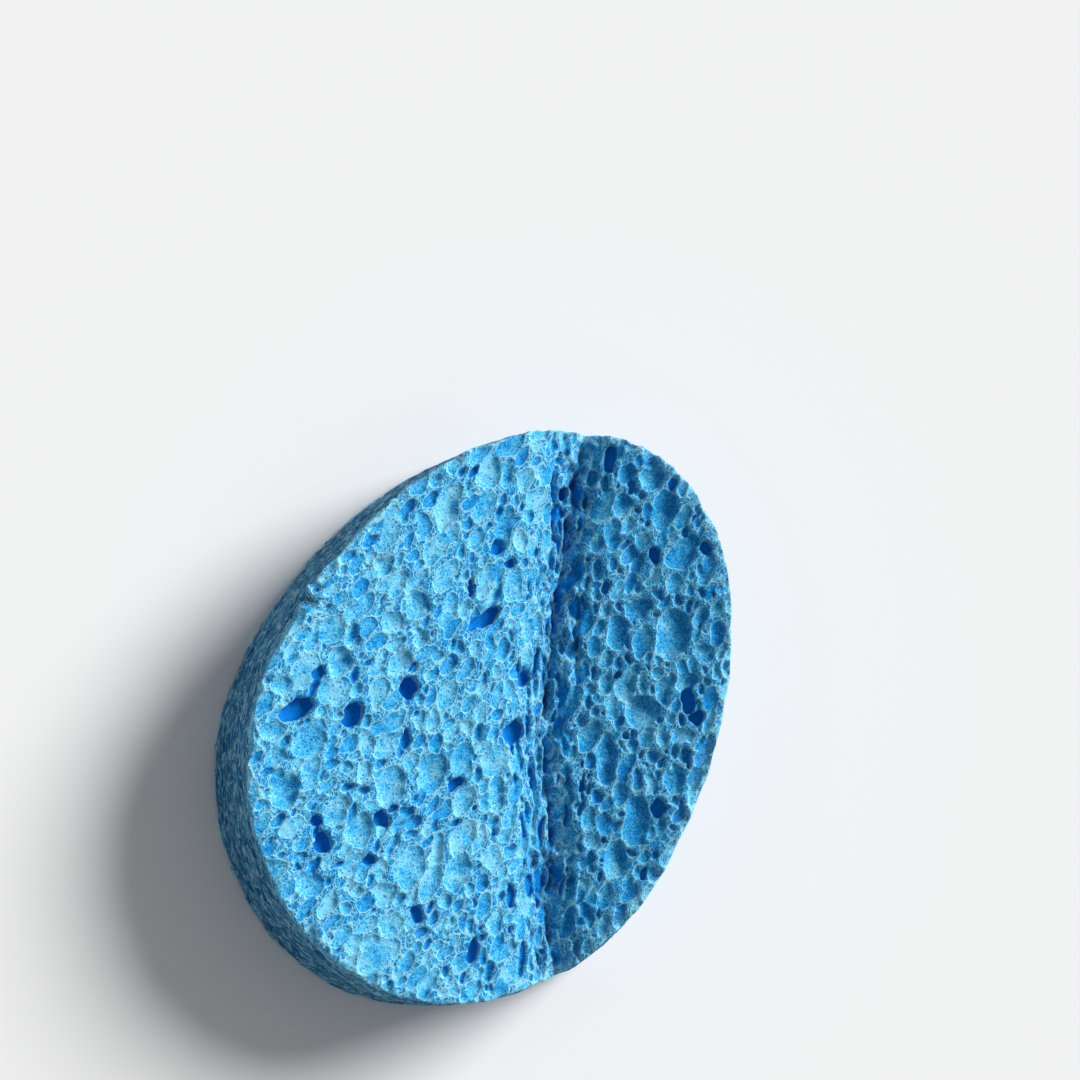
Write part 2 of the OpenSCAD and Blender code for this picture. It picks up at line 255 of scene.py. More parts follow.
def groove_path(s, v):
    """The groove's u at each v: an arc that bows towards the large wing and is 0 beyond both ends."""
    foot, top = crease_ends(s)
    half = (top - foot) / 2 + s["groove_overrun"]
    radius = (half ** 2 + s["groove_bow"] ** 2) / (2 * s["groove_bow"])
    return radius - s["groove_bow"] - np.sqrt(radius ** 2 - v ** 2)


def crease_line(s, v):
    """The crease as it shows: the groove's path, which strays from its arc in slow and quick waves.

    Two half waves, 1.7 mm high above the middle and 1 mm below it, bring it back towards the
    small wing, and three quicker waves make it ragged.
    """
    v = np.clip(v, -CREASE_REACH, CREASE_REACH)
    slow = 1.7 * np.clip(np.sin(0.052 * (v - 2)), 0, 1) + 1.0 * np.clip(np.sin(-0.075 * (v + 4)), 0, 1)
    quick = 0.3 * np.sin(v * 0.21 + 1.0) + 0.22 * np.sin(v * 0.83)
    quick = quick + 0.16 * np.sin(v * 1.7 + 2 * np.sin(v * 0.6))
    return groove_path(s, v) + slow + quick


def bell(distance, half_width):
    """A bell that is 1 at no distance and 1/e at the half width."""
    return np.exp(-(distance / half_width) ** 2)


def fold(s, u, depth):
    """Across, up and slope for points u from the crease and depth below the face.

    The face's slope eases from 0 to the fold angle over the fold's width. Its running sums
    of cosine and sine give the face, and the depth is laid off square to it.
    """
    run = np.arange(-FOLD_REACH, FOLD_REACH, FOLD_STEP)
    share = np.clip((run + s["fold_half"]) / (2 * s["fold_half"]), 0, 1)
    slope = s["fold_angle"] * share * share * (3 - 2 * share)
    x = run[0] + np.concatenate([[0], np.cumsum(np.cos(slope[:-1])) * FOLD_STEP])
    z = s["thickness"] + np.concatenate([[0], np.cumsum(np.sin(slope[:-1])) * FOLD_STEP])
    here = np.interp(u, run, slope)
    return np.interp(u, run, x) + depth * np.sin(here), np.interp(u, run, z) - depth * np.cos(here), here


def back_run(s, u):
    """Distance along the back for each u: the fold makes the back longer by its arc."""
    share = np.clip((u + s["fold_half"]) / (2 * s["fold_half"]), 0, 1)
    return u + s["thickness"] * s["fold_angle"] * share * share * (3 - 2 * share)


# --- scattered pores, drawn as the part's source draws them -------------------------------

PRIME = 2147483647
MULTIPLIER = 48271
SEED_FACE, SEED_BACK, SEED_WALL = 4211, 9137, 6029

# Width of the place on the back, under the egg's middle, that scattered pores keep clear of.
REST_WIDTH = 6.0


def draws(count, seed):
    """Draws between 0 and 1: each is 48271 times the last, modulo the prime 2^31 - 1."""
    values, x = [], seed
    for _ in range(count):
        x = (MULTIPLIER * x) % PRIME
        values.append(x / PRIME)
    return values


def keep_clear(found, kept, wall):
    """Adds each found pore that stands a cell wall clear of all the pores kept so far."""
    first = len(kept)
    kept = [tuple(p) for p in kept]
    for p in found:
        known = np.array(kept).reshape(-1, 6)
        gap = np.linalg.norm(known[:, :3] - np.array(p[:3]), axis=1)
        reach = (known[:, 3] + known[:, 4] + p[3] + p[4]) / 4 + wall
        if np.all(gap > reach):
            kept.append(tuple(p))
    return kept[first:]


def scattered_width(p, r):
    """Widths between the smallest and the largest pore, most of them small."""
    return p["pore_min"] + (p["pore_max"] - p["pore_min"]) * r ** 3


def flat_pores(s, p, tries, seed, depth, extra):
    """Pores scattered over the face or the back, which is longer by extra."""
    around_u, _ = rim(s, np.linspace(0, 2 * math.pi, 20001))
    left, right = float(around_u.min()), float(around_u.max()) + extra
    foot, top = -s["broad_end"] - s["middle_drop"], s["narrow_end"] - s["middle_drop"]
    r = draws(tries * 3, seed)
    found = []
    for i in range(tries):
        width = scattered_width(p, r[3 * i + 2])
        u, v = left + (right - left) * r[3 * i], foot + (top - foot) * r[3 * i + 1]
        flat_u = u if u < 0 else max(0.0, u - extra)
        seams = extra > 0 and min(abs(u), abs(u - extra)) <= width / 2 + p["cell_wall"]
        if on_slab(s, flat_u, v, width / 2, p["rim_margin"]) and not seams:
            found.append((u, v, depth, width, width, 0.0))
    return found


def wall_pores(s, p):
    """Pores scattered over the wall: their last value is the angle of the rim."""
    r = draws(p["wall_tries"] * 3, SEED_WALL)
    found = []
    for i in range(p["wall_tries"]):
        width = scattered_width(p, r[3 * i + 2])
        margin = width / 2 + p["rim_margin"]
        a = 2 * math.pi * r[3 * i]
        u, v = rim(s, a)
        if abs(u) > width / 2 + p["cell_wall"]:
            down = margin + (s["thickness"] - 2 * margin) * r[3 * i + 1]
            found.append((float(u), float(v), down, width, width, a))
    return keep_clear(found, [], p["cell_wall"])


# --- relief fields ------------------------------------------------------------------------

# The fields of the face and the back reach past the rim on every side.
LEFT, RIGHT, FOOT, TOP = -68, 42, -68, 62

# From point to point of a field, on the face, and on the back and the wall.
FACE_STEP, SIDE_STEP = 0.16, 0.2

# Seeds of the three surfaces' own draws.
FACE_DRAWS, BACK_DRAWS, WALL_DRAWS = 71, 72, 73

# Where no pore has been pressed yet, the nearest edge counts as this far. A pore's own
# distances are written this far beyond its edge.
FAR = 9.0
EDGE_MARGIN = 1.4

# Points of the field over which the foam above a place can shade it.
SHADE_POINTS = 25

# Layers of noise as (height, width of a cell): what bends the pores' edges, and the fine unevenness.
BENDING = ((0.65, 3.2), (0.34, 1.3), (0.12, 0.6))
UNEVENNESS = ((0.28, 5.0), (0.1, 0.8), (0.06, 0.4))

# Distances from an edge are cut off here, past all that the material tells apart.
EDGE_REACH = 1.5

# Finer pores in the room that the larger ones leave: half width, least gap, places tried, depth
# over half width, and for the face the range of tones and the share that are deep holes.
FACE_FILLS = (
    (2.0, 0.0, 500, 0.35, (0.0, 0.6), 0.0),
    (1.5, -0.05, 2500, 0.45, (0.0, 0.8), 0.0),
    (1.2, -0.1, 6000, 0.6, (0.0, 0.9), 0.01),
    (0.95, -0.1, 9000, 0.85, (0.1, 1.0), 0.02),
    (0.72, 0.0, 16000, 1.0, (0.2, 1.0), 0.05),
    (0.5, 0.12, 14000, 1.1, (0.3, 1.0), 0.06),
)
BACK_FILLS = (
    (2.6, -0.3, 900, 0.6),
    (1.7, -0.25, 5000, 0.65),
    (1.2, -0.2, 9000, 0.8),
    (0.8, -0.1, 14000, 0.9),
)
WALL_FILLS = (
    (0.9, 0.0, 1500, 0.5),
    (0.6, 0.0, 6000, 0.6),
    (0.45, 0.05, 12000, 0.6),
)


class Field:
    """An even grid over a rectangle, or round a closed strip where wrap is on."""

    def __init__(self, left, right, foot, top, step, wrap=False):
        self.left, self.foot, self.step, self.wrap = left, foot, step, wrap
        columns = int(round((right - left) / step))
        self.columns = columns if wrap else columns + 2
        self.rows = int(round((top - foot) / step)) + 2

    def grid(self):
        """The two coordinates of every point of the grid."""
        x = self.left + np.arange(self.columns) * self.step
        y = self.foot + np.arange(self.rows) * self.step
        return np.meshgrid(x, y)

    def read(self, values, x, y):
        """Values at x, y, read between the grid's points by straight lines both ways."""
        fx, fy = (x - self.left) / self.step, (y - self.foot) / self.step
        if self.wrap:
            fx = np.mod(fx, self.columns)
            i = np.floor(fx).astype(int) % self.columns
            right = (i + 1) % self.columns
        else:
            fx = np.clip(fx, 0, self.columns - 1.001)
            i = np.floor(fx).astype(int)
            right = i + 1
        fy = np.clip(fy, 0, self.rows - 1.001)
        j = np.floor(fy).astype(int)
        a, b = fx - np.floor(fx), fy - j
        low = values[j, i] * (1 - a) + values[j, right] * a
        high = values[j + 1, i] * (1 - a) + values[j + 1, right] * a
        return low * (1 - b) + high * b

    def window(self, x, y, reach_x, reach_y):
        """Row and column indices within reach of a point, and the offsets from it."""
        i0, i1 = int((x - reach_x - self.left) / self.step), int((x + reach_x - self.left) / self.step) + 2
        j0, j1 = int((y - reach_y - self.foot) / self.step), int((y + reach_y - self.foot) / self.step) + 2
        j0, j1 = max(j0, 0), min(j1, self.rows)
        if not self.wrap:
            i0, i1 = max(i0, 0), min(i1, self.columns)
        i, j = np.arange(i0, i1), np.arange(j0, j1)
        dx = self.left + i * self.step - x
        dy = self.foot + j * self.step - y
        return np.ix_(j, i % self.columns), dx[None, :], dy[:, None]


def cloud(field, cell, rng):
    """Smooth noise between -1 and 1: random values a cell apart, joined by eased steps."""
    across = field.columns * field.step / cell
    nx, ny = int(math.ceil(across)) + 2, int(math.ceil(field.rows * field.step / cell)) + 2
    knots = rng.uniform(-1, 1, (ny, nx))
    fx = np.arange(field.columns) * field.step / cell
    if field.wrap:
        nx = max(int(round(across)), 1)
        fx = np.arange(field.columns) / field.columns * nx
    fy = np.arange(field.rows) * field.step / cell
    i, j = np.floor(fx).astype(int), np.floor(fy).astype(int)
    a, b = fx - i, fy - j
    a, b = a * a * (3 - 2 * a), (b * b * (3 - 2 * b))[:, None]
    right = (i + 1) % nx if field.wrap else i + 1
    low = knots[j][:, i] * (1 - a) + knots[j][:, right] * a
    high = knots[j + 1][:, i] * (1 - a) + knots[j + 1][:, right] * a
    return low * (1 - b) + high * b


def clouds(field, layers, rng):
    """The sum of clouds, one for each layer's height and cell."""
    return sum(height * cloud(field, cell, rng) for height, cell in layers)


def blurred(field, values, radius):
    """The mean of the values within about the radius: two passes of a running mean each way."""
    n = max(int(round(radius / field.step)), 1)
    out = values
    for axis in (0, 1, 0, 1):
        mode = "wrap" if (field.wrap and axis == 1) else "edge"
        pad = [(0, 0), (0, 0)]
        pad[axis] = (n + 1, n)
        sums = np.cumsum(np.pad(out, pad, mode=mode), axis=axis)
        size = out.shape[axis]
        ahead = np.take(sums, np.arange(2 * n + 1, 2 * n + 1 + size), axis=axis)
        behind = np.take(sums, np.arange(0, size), axis=axis)
        out = (ahead - behind) / (2 * n + 1)
    return out


def furrows(field, cell, run, rng):
    """Noise drawn out along v: smooth noise, then its mean over a run up and down each column."""
    n = int(run / field.step)
    sums = np.cumsum(np.pad(cloud(field, cell, rng), ((n + 1, n), (0, 0)), mode="edge"), axis=0)
    return (sums[2 * n + 1:] - sums[:-2 * n - 1]) / (2 * n + 1)


class Foam:
    """The open foam of one surface, on the points of its field.

    It holds the relief, the distance from the nearest pore's edge (below 0 inside a pore), that
    pore's tone, which carries painted shade where the pore is deep, whether it is deep, and the
    painted shade. Grain, stretch and squeeze give a pore's lean, length over width and narrowing at each
    place.
    """

    def __init__(self, field, seed, grain, stretch, squeeze):
        self.field, self.grain, self.stretch, self.squeeze = field, grain, stretch, squeeze
        self.rng = np.random.default_rng(seed)
        shape = (field.rows, field.columns)
        self.relief = np.zeros(shape)
        self.tone = np.full(shape, 0.5)
        self.deep = np.zeros(shape)
        self.shade = np.zeros(shape)
        self.edge = np.full(shape, FAR)
        self.warp_x = clouds(field, BENDING, self.rng)
        self.warp_y = clouds(field, BENDING, self.rng)

    def stamp(self, x, y, half_length, half_width, lean, depth, steep, tone):
        """Presses one pore in, where q is the distance from its middle over its half sizes.

        A bowl (steep 0) is about the cap of a ball and a hole (steep 1) has a wall and a floor:
        the pit is depth (1 - q^(2 + 4 steep))^(0.6 - 0.25 steep). Where pores meet, the deeper
        pit is kept, so a sharp ridge stands between them.
        """
        reach = half_length + EDGE_MARGIN
        at, dx, dy = self.field.window(x, y, reach, reach)
        if at[0].size == 0 or at[1].size == 0:
            return
        dx = dx + self.warp_x[at]
        dy = dy + self.warp_y[at]
        c, n = math.cos(lean), math.sin(lean)
        across, along = dx * c - dy * n, dx * n + dy * c
        q = np.sqrt((across / half_width) ** 2 + (along / half_length) ** 2)
        edge = (q - 1) * half_width
        nearer = edge < self.edge[at]
        self.edge[at] = np.where(nearer, edge, self.edge[at])
        self.tone[at] = np.where(nearer, tone, self.tone[at])
        self.deep[at] = np.where(nearer, steep, self.deep[at])
        inside = np.clip(1 - q ** (2 + 4 * steep), 0, 1)
        pit = depth * inside ** (0.6 - 0.25 * steep)
        self.relief[at] = np.maximum(self.relief[at], pit)

    def fill(self, half_width, wall, tries, ratio, tones=(0.0, 1.0), hole_share=0.0):
        """Scatters pores of about one size into what room the larger ones have left.

        A pore is pressed where the nearest edge is farther off than its own half width and the
        wall. Its half width is within a quarter of the one given, its depth is the ratio times
        0.6 to 1.5 of that, and its tone lies between the two given. The given share of them are
        deep holes, 1.5 times as deep as half wide, with tone 1, the bluest, as painted shade.
        """
        f = self.field
        x = f.left + self.rng.uniform(0, 1, tries) * f.columns * f.step
        y = f.foot + self.rng.uniform(0, 1, tries) * (f.rows - 2) * f.step
        extra = self.rng.uniform(0, 1, (tries, 6))
        room = f.read(self.edge, x, y)
        for k in np.nonzero(room > half_width * 0.5 + wall)[0]:
            half = half_width * (0.75 + 0.5 * extra[k, 0]) * self.squeeze(x[k], y[k])
            i = int((x[k] - f.left) / f.step) % f.columns
            j = min(int((y[k] - f.foot) / f.step), f.rows - 1)
            if self.edge[j, i] <= half + wall:
                continue
            lean = self.grain(x[k], y[k]) + 0.7 * (extra[k, 1] - 0.5)
            stretch = self.stretch(x[k], y[k]) * (0.75 + 0.6 * extra[k, 2])
            hole = 1.0 if extra[k, 5] < hole_share else 0.0
            depth = half * (1.5 if hole else ratio * (0.6 + 0.9 * extra[k, 3]))
            # A hole's tone of 1 is painted shade in its depth.
            tone = 1.0 if hole else tones[0] + (tones[1] - tones[0]) * extra[k, 4]
            self.stamp(x[k], y[k], half * stretch, half, lean, depth, hole, tone)

    def finish(self, flat=1.0):
        """Adds the fine unevenness, times flat, and holds the distances within the edge's reach."""
        self.relief = self.relief + flat * clouds(self.field, UNEVENNESS, self.rng)
        self.edge = np.clip(self.edge, -EDGE_REACH, EDGE_REACH)

    def tint_shade(self, towards, rise):
        """Marks where the foam above a point stands between it and the light.

        Light comes from the direction towards, at the slope rise, one value a column. What
        reaches a shaded wall has come through the foam, so it is bluer there. Outside the
        pores the shade then spreads by three points of the field, to take in their rims.
        """
        f = self.field
        over = np.zeros_like(self.relief)
        for t in np.arange(1, SHADE_POINTS + 1) * f.step:
            shift_x, shift_y = int(round(towards[0] * t / f.step)), int(round(towards[1] * t / f.step))
            beyond = np.roll(self.relief, (-shift_y, -shift_x), axis=(0, 1))
            over = np.maximum(over, self.relief - beyond - t * rise[None, :])
        shade = blurred(f, np.clip(over / 0.5, 0, 1), f.step)
        for _ in range(3):
            spread = np.maximum(np.maximum(np.roll(shade, 1, 0), np.roll(shade, -1, 0)),
                                np.maximum(np.roll(shade, 1, 1), np.roll(shade, -1, 1)))
            shade = np.where(self.edge > -0.15, np.maximum(shade, spread), shade)
        self.shade = shade


def crease_at(s):
    """A quick reading of the crease line: a function that gives its u at one v."""
    line_v = np.linspace(FOOT, TOP, 600)
    line_u = crease_line(s, line_v)
    return lambda v: np.interp(v, line_v, line_u)


def named_pores(s, p):
    """The pores that have places of their own, with 1 at the end of each that is a deep hole."""
    named = []
    for kind, group in enumerate((BOWLS, HOLES)):
        for u, v, long_way, width, lean in group:
            if on_slab(s, u, v, long_way / 2, p["rim_margin"]):
                named.append((u, v, 0.0, long_way, width, math.radians(lean), kind))
    return named


def press_named(foam, u, v, long_way, width, lean, kind):
    """A pale bowl 0.15 to 0.3 as deep as wide, or a blue hole 0.5 to 0.8 as deep as wide, whose blue tone is
    painted shade.
    """
    r = foam.rng.uniform(0, 1, 3)
    large_wing = u < 0
    if kind:
        # A hole's tone of 1 is painted shade in its depth.
        depth, tone = width * (0.5 + 0.3 * r[0]), 1.0
    else:
        depth = width * ((0.15 if large_wing else 0.2) + 0.1 * r[0])
        tone = (0.0 if large_wing else 0.05) + 0.4 * r[1]
    foam.stamp(u, v, long_way / 2, width / 2, lean, depth, float(kind), tone)


def press_scattered(foam, u, v, width):
    """A bowl 0.2 to 0.4 as deep as wide, that leans with the grain, or now and then a deep hole. Its tone
    rises with its depth and a hole's is 1: painted shade.
    """
    r = foam.rng.uniform(0, 1, 4)
    lean = foam.grain(u, v) + 0.5 * (r[0] - 0.5)
    kind = 1.0 if r[1] > 0.985 else 0.0
    depth = width * (0.75 if kind else 0.2 + 0.2 * r[2])
    half = width / 2 * foam.squeeze(u, v)
    # The tone rises with the depth, both from r[2], and is 1 for a hole: painted shade.
    foam.stamp(u, v, half * (1.2 + 0.8 * r[3]), half, lean, depth, kind, max(kind, 0.85 * r[2] ** 1.5))


def tear_slits(foam, s, p, crease):
    """Tears thin slits open along the crease, most of them low down.

    They lie from 62 mm below its middle to 46 mm above, 8 mm to its left to 4.5 mm to its right.
    """
    for r in foam.rng.uniform(0, 1, (p["slits"], 6)):
        v = -62 + 108 * r[0] ** 1.3
        u = crease(v) - 8 + 12.5 * r[1]
        if on_slab(s, u, v, 2.0, p["rim_margin"]):
            half = 0.3 + 0.3 * r[2]
            # Each slit is a deep hole with tone 1: painted shade in it.
            foam.stamp(u, v, half * (3 + 5 * r[3]), half, math.radians(12 * (r[4] - 0.5)), 0.9, 1.0, 1.0)


def face_foam(s, p):
    """The foam of the face: the named pores, the scattered ones, finer ones between and slits.

    Nearness to the crease is a bell, 1/e at 6 mm to its left or at 4.5 mm to its right. Away
    from it the pores lean by 14 degrees on the small wing, and by 18 degrees and 0.45 more
    for each millimetre on the large one. On the crease they don't lean and are longer and
    narrower. Furrows run along it, and the small wing and the crease get shade of their own.
    """
    crease = crease_at(s)

    def near(u, v):
        away = u - crease(v)
        return math.exp(-(away / (6.0 if away < 0 else 4.5)) ** 2)

    def grain(u, v):
        lean = 18 - 0.45 * u if u < 0 else 14
        return math.radians(lean) * (1 - near(u, v))

    def stretch(u, v):
        return (1.9 if u < 0 else 1.6) + 1.0 * near(u, v)

    def squeeze(u, v):
        return 1 - 0.62 * near(u, v)

    field = Field(LEFT, RIGHT, FOOT, TOP, FACE_STEP)
    foam = Foam(field, FACE_DRAWS, grain, stretch, squeeze)
    named = named_pores(s, p)
    scattered = keep_clear(flat_pores(s, p, p["face_tries"], SEED_FACE, 0.0, 0.0), [n[:6] for n in named],
                           p["cell_wall"])
    for u, v, _, long_way, width, lean, kind in named:
        press_named(foam, u, v, long_way, width, lean, kind)
    for u, v, _, _, width, _ in scattered:
        press_scattered(foam, u, v, width)
    for row in FACE_FILLS:
        foam.fill(*row)
    tear_slits(foam, s, p, crease)
    u, v = field.grid()
    away = u - crease_line(s, v)
    foam.relief = foam.relief + 1.9 * bell(away + 1, 4.5) * furrows(field, 0.8, 2.2, foam.rng)
    foam.finish()
    columns = field.left + np.arange(field.columns) * field.step
    foam.tint_shade((0.8, 0.6), np.where(columns < 0, 0.67, 0.35))
    small_wing = np.clip(away / 2, 0, 1)
    foam.shade = np.clip(foam.shade + 0.28 * small_wing + 0.45 * bell(away + 1.0, 4.0), 0, 1.2)
    return foam


def back_foam(s, p):
    """The foam of the back, where only the scattered pores have places of their own.

    Nothing of it rises above the back, which lies on the floor.
    """
    extra = s["thickness"] * s["fold_angle"]
    lean = math.radians(20)
    field = Field(LEFT, RIGHT + extra, FOOT, TOP, SIDE_STEP)
    foam = Foam(field, BACK_DRAWS, lambda u, v: lean, lambda u, v: 1.35, lambda u, v: 1.0)
    rest = (-s["crease_offset"], -s["middle_drop"], s["thickness"], REST_WIDTH, REST_WIDTH, 0.0)
    found = flat_pores(s, p, p["back_tries"], SEED_BACK, s["thickness"], extra)
    for u, v, _, _, width, _ in keep_clear(found, [rest], p["cell_wall"]):
        r = foam.rng.uniform(0, 1, 4)
        # The tone rises with the depth, both from r[2]: painted shade in the deeper pores.
        depth = width * (0.25 + 0.2 * r[2])
        foam.stamp(u, v, width / 2 * (1.1 + 0.4 * r[3]), width / 2, lean, depth, 0.0, r[2])
    for row in BACK_FILLS:
        foam.fill(*row)
    foam.finish(0.4)
    foam.relief = np.maximum(foam.relief, 0.0)
    return foam


def wall_foam(s, p, around):
    """The foam of the wall, over the distance around the rim and the depth below the face."""
    step = around.total / round(around.total / SIDE_STEP)
    field = Field(0, around.total, 0, s["thickness"], step, wrap=True)
    sideways = math.radians(90)
    foam = Foam(field, WALL_DRAWS, lambda u, v: sideways, lambda u, v: 3.6, lambda u, v: 1.0)
    for _, _, down, _, width, a in wall_pores(s, p):
        r = foam.rng.uniform(0, 1, 4)
        half = width / 2 * 0.7
        foam.stamp(around.at(a), down, half * (1.8 + r[3]), half, sideways, half * 0.8, 0.0, 0.5 + 0.5 * r[2])
    for row in WALL_FILLS:
        foam.fill(*row)
    foam.finish(0.9)
    return foam


# --- the sponge's surface -----------------------------------------------------------------

# How far each surface's relief and masks carry on around the rim before they have faded.
FACE_FADE = 1.4
WALL_FADE = 1.2

# Half width of the strip of fibres inside the rim, on the small wing and on the large one.
SMALL_BAND, LARGE_BAND = 1.5, 0.4


class Around:
    """Distance around the rim for each angle of the egg."""

    def __init__(self, s):
        self.angles = np.linspace(0, 2 * math.pi, 4001)
        u, v = rim(s, self.angles)
        steps = np.hypot(np.diff(u), np.diff(v))
        self.runs = np.concatenate([[0], np.cumsum(steps)])
        self.total = float(self.runs[-1])

    def at(self, a):
        """Distance around at the angle a."""
        return np.interp(np.mod(a, 2 * math.pi), self.angles, self.runs)


def disc_grid(n):
    """A square grid laid on a disc so that its cells keep about equal areas.

    Each square ring becomes a circle: the larger of the two coordinates is the radius, and
    the smaller over it gives the angle, an eighth of a turn at most from the ring's middle.
    """
    line = np.linspace(-1, 1, n)
    x, y = np.meshgrid(line, line)
    flat = np.abs(x) > np.abs(y)
    safe_x, safe_y = np.where(x == 0, 1, x), np.where(y == 0, 1, y)
    radius = np.where(flat, x, y)
    turn = np.where(flat, y / safe_x * math.pi / 4, math.pi / 2 - x / safe_y * math.pi / 4)
    turn = np.where((x == 0) & (y == 0), 0.0, turn)
    return radius * np.cos(turn), radius * np.sin(turn)


def ring_order(n):
    """Indices of the square grid's outermost points, once round, counter-clockwise."""
    low, high = np.zeros(n - 1, int), np.full(n - 1, n - 1)
    run = np.arange(n - 1)
    rows = np.concatenate([low, run, high, n - 1 - run])
    columns = np.concatenate([run, high, n - 1 - run, low])
    return rows * n + columns


def egg_grid(s, n):
    """The square grid laid on the egg: u, v, the angle of the egg and the distance to the rim."""
    dx, dy = disc_grid(n)
    across = dx * np.where(dx > 0, s["near_half"], s["far_half"])
    along = dy * np.where(dy > 0, s["narrow_end"], s["broad_end"])
    u, v = placed(s, across, along)
    turn = np.mod(np.arctan2(dy, dx), 2 * math.pi)
    edge_u, edge_v = rim(s, turn)
    inward = np.hypot(edge_u - u, edge_v - v)
    return [values.ravel() for values in (u, v, turn, inward)]


def outward(s, turn):
    """The direction square to the rim at each angle, from two points of it close by."""
    ahead_u, ahead_v = rim(s, turn + 1e-4)
    behind_u, behind_v = rim(s, turn - 1e-4)
    tangent = np.hypot(ahead_u - behind_u, ahead_v - behind_v)
    return (ahead_v - behind_v) / tangent, -(ahead_u - behind_u) / tangent


def nicked(s, pit, along, depth, from_rim):
    """The wall's pits with the torn nick cut into them, and beside it a tip that stands out.

    The nick is a wedge over its width, which fades at its lower end and away from the rim.
    The tip is a bell to one side, 0.6 of the nick's width high.
    """
    notch = s["nick_depth"] * np.clip(1 - np.abs(along) / (s["nick_width"] / 2), 0, 1)
    notch *= np.clip((s["nick_height"] - depth) / 1.5, 0, 1) * np.exp(-from_rim / (1.3 * s["nick_depth"]))
    tip = bell(along + 0.75 * s["nick_width"], 0.3 * s["nick_width"])
    tip *= 0.6 * s["nick_width"] * np.exp(-(depth / 2) ** 2 - from_rim / 2)
    return pit + notch - tip


def sponge_faces(n, rows, ring):
    """Quads of the face, the back and the strip between them, all facing outwards."""
    cell = (np.arange(n - 1)[:, None] * n + np.arange(n - 1)).ravel()
    top = np.stack([cell, cell + 1, cell + n + 1, cell + n], axis=1)
    bottom = (top + n * n)[:, ::-1]
    levels = 2 * n * n + np.arange((rows - 2) * ring.size).reshape(rows - 2, -1)
    strip = np.concatenate([ring[None, :], levels, ring[None, :] + n * n])
    after = np.roll(strip, -1, axis=1)
    side = np.stack([strip[1:], after[1:], after[:-1], strip[:-1]], axis=2).reshape(-1, 4)
    return np.concatenate([top, bottom, side])


def sponge_mesh(s, p):
    """All points, faces and masks of the sponge.

    The face and the back are square grids laid on the egg and the wall is a strip between
    their rims. Every point starts on the folded slab and is then pressed in by the relief
    of the face, the back and the wall, each fading away from its own surface. The masks are
    the surfaces' own, in the shares of the same fades.
    """
    n, rows = p["grid"], p["wall_rows"]
    around = Around(s)
    face, back, wall = face_foam(s, p), back_foam(s, p), wall_foam(s, p, around)
    u, v, turn, inward = egg_grid(s, n)
    ring = ring_order(n)
    zeros = np.zeros(n * n)
    levels = rows - 2
    wall_depth = np.repeat(np.linspace(0, s["thickness"], rows)[1:-1], ring.size)
    all_u = np.concatenate([u, u, np.tile(u[ring], levels)])
    all_v = np.concatenate([v, v, np.tile(v[ring], levels)])
    all_turn = np.concatenate([turn, turn, np.tile(turn[ring], levels)])
    depth = np.concatenate([zeros, zeros + s["thickness"], wall_depth])
    from_rim = np.concatenate([inward, inward, np.zeros(wall_depth.size)])
    run = around.at(all_turn)

    fade_face = bell(depth, FACE_FADE)
    fade_back = bell(s["thickness"] - depth, FACE_FADE)
    fade_wall = bell(from_rim, WALL_FADE)
    surfaces = ((face, all_u, all_v, fade_face), (back, back_run(s, all_u), all_v, fade_back),
                (wall, run, depth, fade_wall))
    face_pit, back_pit, wall_pit = (foam.field.read(foam.relief, x, y) * fade
                                    for foam, x, y, fade in surfaces)
    masks = {}
    for mask in ("edge", "deep", "tone", "shade"):
        total = sum(foam.field.read(getattr(foam, mask), x, y) * fade for foam, x, y, fade in surfaces)
        masks[mask] = total / np.maximum(fade_face + fade_back + fade_wall, 0.3)
    masks["wall"] = np.clip(1 - (fade_face + fade_back), 0, 1)
    masks["band"] = bell(from_rim, np.where(all_u > 0, SMALL_BAND, LARGE_BAND)) * fade_face

    wall_pit = nicked(s, wall_pit, run - around.at(s["nick_along"]), depth, from_rim)
    x, z, slope = fold(s, all_u, depth)
    out_u, out_v = outward(s, all_turn)
    down = face_pit + groove_relief(s, all_u, all_v) * bell(depth, 8) - back_pit
    points = np.empty((all_u.size, 3))
    points[:, 0] = x + down * np.sin(slope) - wall_pit * out_u * np.cos(slope)
    points[:, 1] = all_v - wall_pit * out_v
    points[:, 2] = z - down * np.cos(slope) - wall_pit * out_u * np.sin(slope)
    points += (s["crease_offset"], s["middle_drop"], 0)
    return points * MM, sponge_faces(n, rows, ring), masks


def groove_relief(s, u, v):
    """How far the groove lies below the folded face: a gentle side, a steep one and thin cuts.

    The two sides meet the face in an eased corner. The cut in the middle is a bell up to
    2.2 mm deep, which a wave along the crease breaks up. Two shallower ones run beside it
    for part of the way, where another wave is above 0.
    """
    d = u - crease_line(s, v)
    steep = math.tan(s["fold_angle"] + s["groove_rise"])
    gentle = 1 + np.minimum(d, 0) / s["groove_reach"]
    level = np.maximum(u, 0) * math.sin(s["fold_angle"])
    bed = np.where(d < 0, -s["groove_depth"] * gentle, d * steep - s["groove_depth"])
    open_dip = np.logaddexp(0, (level - bed) * 2.5) / 2.5
    broken = np.clip(0.75 + 0.5 * np.sin(v * 0.55 + 1.7) + 0.4 * np.sin(v * 1.31), 0.25, 1.2)
    cut = 1.8 * broken * bell(d, 0.5)
    right = 1.1 * bell(d - 4.3 - 0.5 * np.sin(v * 0.3), 0.5) * np.clip(np.sin(v * 0.09 + 0.6), 0, 1)
    left = 1.3 * bell(d + 4.0 - 0.6 * np.sin(v * 0.25), 0.55) * np.clip(np.sin(v * 0.1 - 2.6), 0, 1)
    return open_dip + cut + right + left


